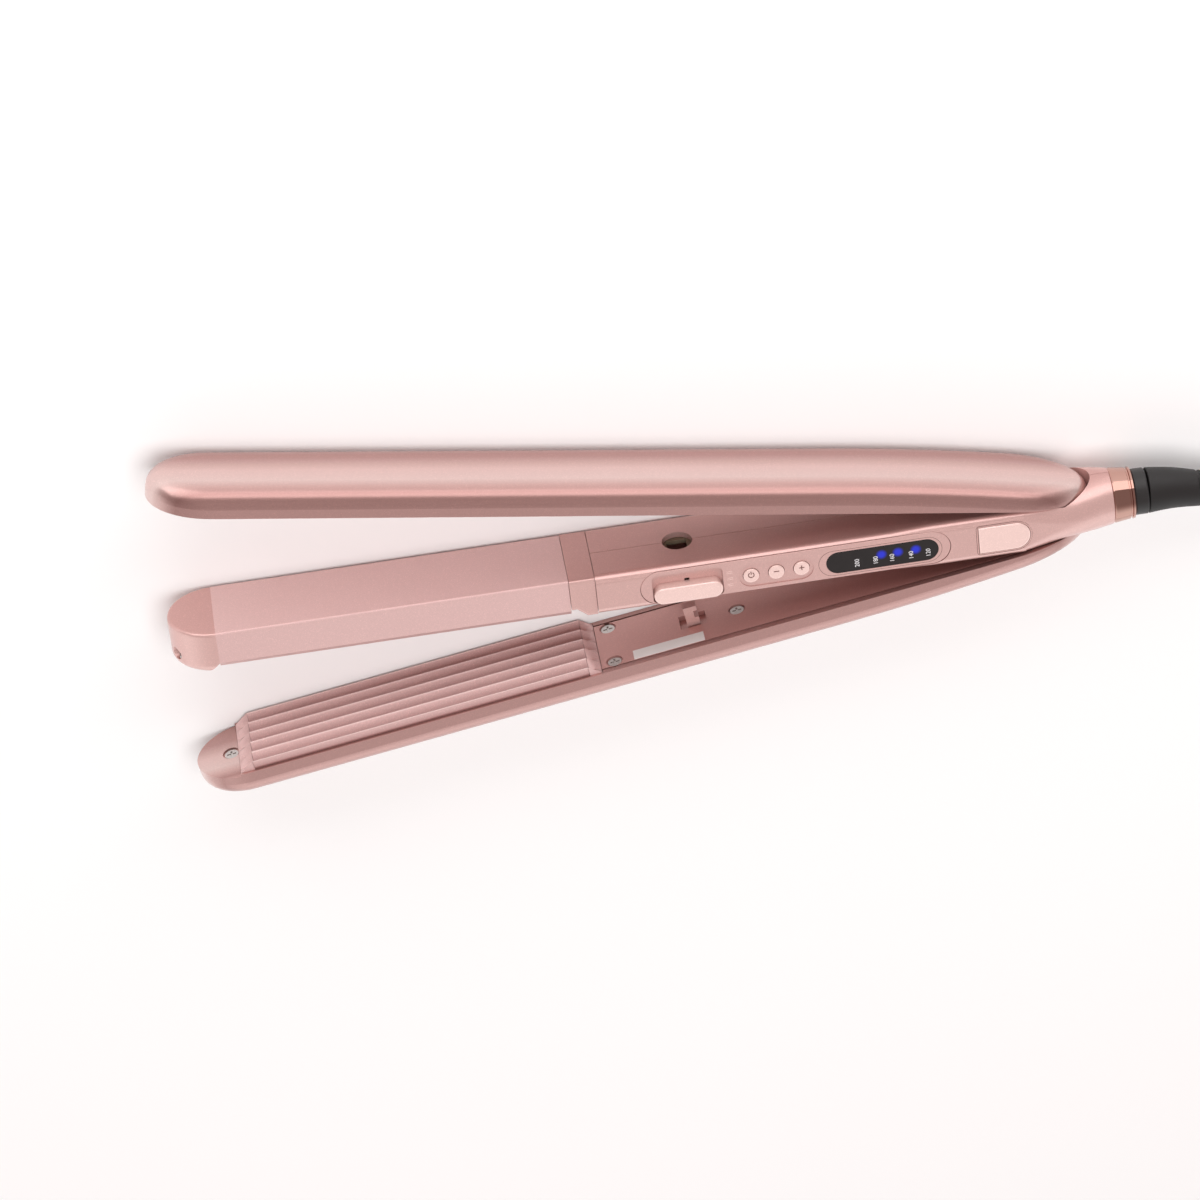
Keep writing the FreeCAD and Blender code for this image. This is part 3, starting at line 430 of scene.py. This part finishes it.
def spline(name, points, radius):
    """A round rubber cord along one open spline."""
    data = bpy.data.curves.new(name, "CURVE")
    data.dimensions = "3D"
    data.bevel_depth = radius
    data.bevel_resolution = 6
    data.resolution_u = 4
    line = data.splines.new("NURBS")
    line.points.add(len(points) - 1)
    for point, place in zip(line.points, points):
        point.co = (*[c * MM for c in place], 1.0)
    line.order_u = 3
    line.use_endpoint_u = True
    thing = bpy.data.objects.new(name, data)
    bpy.context.scene.collection.objects.link(thing)
    data.materials.append(black_rubber)
    return thing


flex = spline("mains_cord", cord_points(), 2.95 * MM)
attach(flex, "handle")
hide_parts("cord", "cord_coil", "cord_end")


# ---- strain relief -------------------------------------------------------------------

BOOT_PATH = [
    (38.7, 0.0, 13.5, 6.85),
    (46.0, -0.5, 13.4, 6.15),
    (54.0, -2.3, 12.9, 5.4),
    (64.0, -5.1, 11.4, 4.8),
    (74.0, -8.4, 9.1, 4.3),
    (84.0, -12.6, 6.6, 3.75),
]


def between_stations(share):
    """Centre and radius at a share of the way, on a smooth curve through the stations."""
    count = len(BOOT_PATH) - 1
    place = min(max(share, 0.0), 1.0) * count
    i = min(int(place), count - 1)
    t = place - i
    before = BOOT_PATH[max(i - 1, 0)]
    first, second = BOOT_PATH[i], BOOT_PATH[i + 1]
    after = BOOT_PATH[min(i + 2, count)]
    return [
        0.5
        * (
            2 * b
            + (c - a) * t
            + (2 * a - 5 * b + 4 * c - d) * t * t
            + (3 * b - a - 3 * c + d) * t * t * t
        )
        for a, b, c, d in zip(before, first, second, after)
    ]


SLOTS_FROM, SLOTS_TO = 0.36, 0.94  # shares of the strain relief's length
SLOT_PITCH = 0.058
SLOT_SPAN = (0.30, 0.72)  # where a slot opens and closes within its pitch
SLOT_HALF_TURN = 1.15  # radians to each side of the slot's middle
SLOT_DEPTH = 0.75
END_ROUNDING, END_RINGS = 0.35, 3


def slot_depth(share, around):
    """Rows of slots, each on the opposite side to the last."""
    if not SLOTS_FROM < share < SLOTS_TO:
        return 0.0
    row = (share - SLOTS_FROM) / SLOT_PITCH
    side = 0.0 if int(row) % 2 else math.pi
    off = abs((around - side + math.pi) % (2 * math.pi) - math.pi)
    if off > SLOT_HALF_TURN or not SLOT_SPAN[0] < row % 1.0 < SLOT_SPAN[1]:
        return 0.0
    return SLOT_DEPTH


def strain_relief():
    """The moulded sleeve between tail and cord, swept along its path with its slots."""
    mesh = bpy.data.meshes.new("strain_relief")
    build = bmesh.new()
    rings = []
    steps, sides = 150, 56
    for i in range(steps + 1):
        share = i / steps
        x, y, z, radius = between_stations(share)
        ahead = Vector(between_stations(share + 0.01)[:3])
        behind = Vector(between_stations(share - 0.01)[:3])
        along = (ahead - behind).normalized()
        side = along.cross(Vector((0, 0, 1))).normalized()
        lift = side.cross(along)
        from_end = min(i, steps - i)
        soften = END_ROUNDING * (1 - min(from_end, END_RINGS) / END_RINGS) ** 2
        ring = []
        for k in range(sides):
            around = 2 * math.pi * k / sides
            reach = radius - soften - slot_depth(share, around)
            spot = Vector((x, y, z)) + reach * (math.cos(around) * side + math.sin(around) * lift)
            ring.append(build.verts.new(spot * MM))
        rings.append(ring)
    for first, second in zip(rings, rings[1:]):
        for k in range(sides):
            n = (k + 1) % sides
            build.faces.new((first[k], first[n], second[n], second[k]))
    build.faces.new(list(reversed(rings[0])))
    build.faces.new(rings[-1])
    bmesh.ops.recalc_face_normals(build, faces=build.faces)
    build.to_mesh(mesh)
    build.free()
    for face in mesh.polygons:
        face.use_smooth = len(face.vertices) == 4
    mesh.materials.append(black_rubber)
    thing = bpy.data.objects.new("strain_relief", mesh)
    bpy.context.scene.collection.objects.link(thing)
    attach(thing, "handle")
    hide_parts("cord_boot")


strain_relief()


# ---- fine details --------------------------------------------------------------------


def top_of(node):
    thing = nodes[node]
    return max((thing.matrix_world @ Vector(c)).z for c in thing.bound_box) / MM


def as_mesh(curve, name, body, look):
    """Turn a curve into a mesh piece that rides on a body."""
    bpy.context.view_layer.update()
    graph = bpy.context.evaluated_depsgraph_get()
    mesh = bpy.data.meshes.new_from_object(curve.evaluated_get(graph))
    mesh.transform(curve.matrix_world)
    bpy.data.objects.remove(curve)
    mesh.name = name
    mesh.materials.clear()
    mesh.materials.append(look)
    thing = bpy.data.objects.new(name, mesh)
    bpy.context.scene.collection.objects.link(thing)
    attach(thing, body)
    return thing


def strokes(name, body, look, width, lines, closed=False):
    """Fine raised lines: each is a list of points in millimetres."""
    data = bpy.data.curves.new(name, "CURVE")
    data.dimensions = "3D"
    data.bevel_depth = width / 2 * MM
    data.bevel_resolution = 2
    for points in lines:
        line = data.splines.new("POLY")
        line.points.add(len(points) - 1)
        line.use_cyclic_u = closed
        for point, place in zip(line.points, points):
            point.co = (*[c * MM for c in place], 1.0)
    curve = bpy.data.objects.new(name, data)
    bpy.context.scene.collection.objects.link(curve)
    return as_mesh(curve, name, body, look)


def arc(x, y, z, radius, first, last, count=14):
    points = []
    for i in range(count + 1):
        turn = math.radians(first + (last - first) * i / count)
        points.append((x + radius * math.cos(turn), y + radius * math.sin(turn), z))
    return points


def stadium(x_from, x_to, y, half, z):
    return arc(x_to - half, y, z, half, -90, 90) + arc(x_from + half, y, z, half, 90, 270)


def numeral(text, x, y, z, size):
    """A printed number that reads across the handle."""
    data = bpy.data.curves.new("numeral_" + text, "FONT")
    data.body = text
    data.size = size * MM
    data.extrude = 0.02 * MM
    data.align_x = "CENTER"
    data.align_y = "CENTER"
    curve = bpy.data.objects.new("numeral_" + text, data)
    bpy.context.scene.collection.objects.link(curve)
    turn = Matrix(((0, -1, 0), (1, 0, 0), (0, 0, 1))).to_4x4()
    curve.matrix_world = Matrix.Translation((x * MM, y * MM, z * MM)) @ turn
    return as_mesh(curve, "numeral_" + text, "handle", print_white)


LIT_PLACES = (-42.9, -38.0, -32.7)  # lamps between the numerals, along the handle
LIT_SIDE = 0.2
GLOW_CORE, GLOW_EDGE = 0.0006, 0.0019


def lit_window():
    """Smoked window with three lamps glowing softly through it."""
    look = Look("lit_window", Emission_Strength=1.0, Specular_IOR_Level=0.25)
    grain = look.noise(300, 4, 0.6)
    look.colour(look.mix(grain, (0.020, 0.018, 0.018, 1), (0.028, 0.025, 0.025, 1)))
    look.rough(look.between(look.noise(900, 3), 0.16, 0.24))
    total = None
    for x in LIT_PLACES:
        gap = look.node("ShaderNodeVectorMath", operation="DISTANCE")
        look.tree.links.new(look.coords, gap.inputs[0])
        gap.inputs[1].default_value = (x * MM, LIT_SIDE * MM, window_top * MM)
        links = {
            "Value": gap.outputs["Value"],
            "From Min": GLOW_CORE,
            "From Max": GLOW_EDGE,
            "To Min": 1.0,
            "To Max": 0.0,
        }
        spot = look.node("ShaderNodeMapRange", links, interpolation_type="SMOOTHSTEP")
        glow = spot.outputs["Result"]
        if total is None:
            total = glow
        else:
            both = look.node("ShaderNodeMath", {0: total, 1: glow}, operation="ADD")
            total = both.outputs["Value"]
    blue = look.mix(total, (0.0, 0.0, 0.0, 1), (0.004, 0.02, 0.62, 1))
    look.tree.links.new(blue, look.shader.inputs["Emission Color"])
    return look.material


print_white = moulded("print_white", (0.80, 0.79, 0.80), (0.66, 0.65, 0.66), 0.4, 0.5)
# dark strokes of painted shade in the grooves round the panel and the cover; the key icons use the
# same dark
groove = moulded("groove_shade", (0.20, 0.095, 0.085), (0.15, 0.07, 0.06), 0.45, 0.6)
window_top = top_of("display_window") + 0.03
nodes["display_window"].data.materials.clear()
nodes["display_window"].data.materials.append(lit_window())
NUMERALS = (("200", -50.2), ("180", -44.7), ("160", -39.8), ("140", -34.1), ("120", -29.0))
NUMERAL_SIDE, NUMERAL_SIZE = -1.5, 1.9
for text, x in NUMERALS:
    numeral(text, x, NUMERAL_SIDE, window_top, NUMERAL_SIZE)

panel_top = top_of("control_panel")
LINE_SINK = 0.02
RIM_FRONT, RIM_REAR, RIM_SIDE, RIM_HALF = -61.6, -24.9, -0.4, 4.35
rim = stadium(RIM_FRONT, RIM_REAR, RIM_SIDE, RIM_HALF, panel_top - LINE_SINK)
strokes("panel_rim_line", "handle", groove, 0.14, [rim], closed=True)

face_top = top_of("handle_control_half") - LINE_SINK
COVER_HALF, COVER_REAR, COVER_FRONT, COVER_CORNER = 5.1, -3.0, -13.5, 1.0
NECK_START, NECK_FALL = -1.0, 0.06  # behind this the handle's face slopes down
corner_side = COVER_HALF - COVER_CORNER
cover_rim = (
    arc(COVER_REAR, 0.0, face_top, COVER_HALF, -90, 90)
    + arc(COVER_FRONT, corner_side, face_top, COVER_CORNER, 90, 180, 5)
    + arc(COVER_FRONT, -corner_side, face_top, COVER_CORNER, 180, 270, 5)
)
cover_rim = [(x, y, z - NECK_FALL * max(x - NECK_START, 0.0)) for x, y, z in cover_rim]
strokes("cover_rim_line", "handle", groove, 0.16, [cover_rim], closed=True)

MARK_FROM, MARK_TO = -88.9, -87.1
rows = [y + shift for y in (-2.6, -0.4, 1.8) for shift in (-0.3, 0.3)]
marks = [[(MARK_FROM, y, panel_top), (MARK_TO, y, panel_top)] for y in rows]
strokes("mode_marks", "handle", gloss_pink, 0.13, marks)

key_top = top_of("button_plus") + 0.02
SIGN_REACH = 0.8  # half the length of a minus or plus stroke


def power_sign(x):
    ring = arc(x, 0, key_top, 0.85, 120, 420)
    return [ring, [(x, 0.2, key_top), (x, 1.2, key_top)]]


def minus_sign(x):
    return [[(x - SIGN_REACH, 0, key_top), (x + SIGN_REACH, 0, key_top)]]


def plus_sign(x):
    return minus_sign(x) + [[(x, -SIGN_REACH, key_top), (x, SIGN_REACH, key_top)]]


for key, sign in (("power", power_sign), ("minus", minus_sign), ("plus", plus_sign)):
    button = nodes["button_" + key]
    spots = [(button.matrix_world @ Vector(c)).x / MM for c in button.bound_box]
    lines = sign((min(spots) + max(spots)) / 2)
    strokes("icon_" + key, key + "_key", groove, 0.28, lines)


# ---- floor, light and camera ---------------------------------------------------------


def backdrop():
    """A pale floor that runs far past the frame."""
    mesh = bpy.data.meshes.new("floor")
    size = 40.0
    corners = [(-size, -size, 0), (size, -size, 0), (size, size, 0), (-size, size, 0)]
    mesh.from_pydata(corners, [], [(0, 1, 2, 3)])
    thing = bpy.data.objects.new("floor", mesh)
    bpy.context.scene.collection.objects.link(thing)
    look = Look("pale_floor", Roughness=0.9, Specular_IOR_Level=0.1)
    look.colour(look.mix(look.noise(3, 2), (0.90, 0.90, 0.90, 1), (0.92, 0.92, 0.92, 1)))
    mesh.materials.append(look.material)


def lamp(name, place, target, size, power):
    data = bpy.data.lights.new(name, "AREA")
    data.shape = "RECTANGLE"
    data.size, data.size_y = size
    data.energy = power
    thing = bpy.data.objects.new(name, data)
    bpy.context.scene.collection.objects.link(thing)
    thing.location = place
    thing.rotation_mode = "QUATERNION"
    way = Vector(target) - Vector(place)
    thing.rotation_quaternion = way.to_track_quat("-Z", "Y")
    return thing


DARK_SIDE = (0.0, 0.574, 0.819)  # about where the camera stands
BRIGHTEST, DARKEST = 1.08, 0.32
PALE_TINT = (1.0, 0.995, 0.99, 1.0)
ROSE_TINT = (1.0, 0.80, 0.77, 1.0)


def world():
    """A pale room, darker and tinted rose on the camera's side, which the edges mirror."""
    made = bpy.data.worlds.new("studio")
    bpy.context.scene.world = made
    made.use_nodes = True
    tree = made.node_tree
    way = tree.nodes.new("ShaderNodeTexCoord").outputs["Generated"]
    facing = tree.nodes.new("ShaderNodeVectorMath")
    facing.operation = "DOT_PRODUCT"
    facing.inputs[1].default_value = DARK_SIDE
    tree.links.new(way, facing.inputs[0])
    fade = tree.nodes.new("ShaderNodeMapRange")
    fade.interpolation_type = "SMOOTHSTEP"
    fade.inputs["From Min"].default_value = -0.15
    fade.inputs["From Max"].default_value = 0.60
    fade.inputs["To Min"].default_value = BRIGHTEST
    fade.inputs["To Max"].default_value = DARKEST
    tree.links.new(facing.outputs["Value"], fade.inputs["Value"])
    tree.links.new(fade.outputs["Result"], tree.nodes["Background"].inputs["Strength"])
    tint = tree.nodes.new("ShaderNodeMix")
    tint.data_type = "RGBA"
    tint.inputs["A"].default_value = ROSE_TINT
    tint.inputs["B"].default_value = PALE_TINT
    share = tree.nodes.new("ShaderNodeMapRange")
    share.inputs["From Min"].default_value = 0.34
    share.inputs["From Max"].default_value = 0.80
    tree.links.new(fade.outputs["Result"], share.inputs["Value"])
    tree.links.new(share.outputs["Result"], tint.inputs["Factor"])
    tree.links.new(tint.outputs["Result"], tree.nodes["Background"].inputs["Color"])


def camera():
    """Stands where the photo was taken from."""
    data = bpy.data.cameras.new("camera")
    data.lens = 173.1
    data.sensor_width = 36.0
    data.clip_start = 0.05
    data.clip_end = 100.0
    thing = bpy.data.objects.new("camera", data)
    bpy.context.scene.collection.objects.link(thing)
    right = (0.9883, -0.0949, 0.1194)
    up = (0.1461, 0.8140, -0.5622)
    back = (-0.0439, 0.5731, 0.8183)
    rows = [[right[i], up[i], back[i]] for i in range(3)]
    place = Matrix.Translation((-0.20086, 0.96819, 1.41097))
    thing.matrix_world = place @ Matrix(rows).to_4x4()
    bpy.context.scene.camera = thing


backdrop()
world()
MIDDLE = (-0.1, 0.0, 0.0)
lamp("front", place=(-0.1, 1.1, 0.36), target=MIDDLE, size=(2.4, 0.9), power=11.0)
overhead = lamp(
    "overhead", place=(-0.1, 0.3, 1.6), target=MIDDLE, size=(1.2, 1.0), power=18.0
)
overhead.visible_glossy = False
camera()
bpy.context.scene.view_settings.view_transform = "Standard"
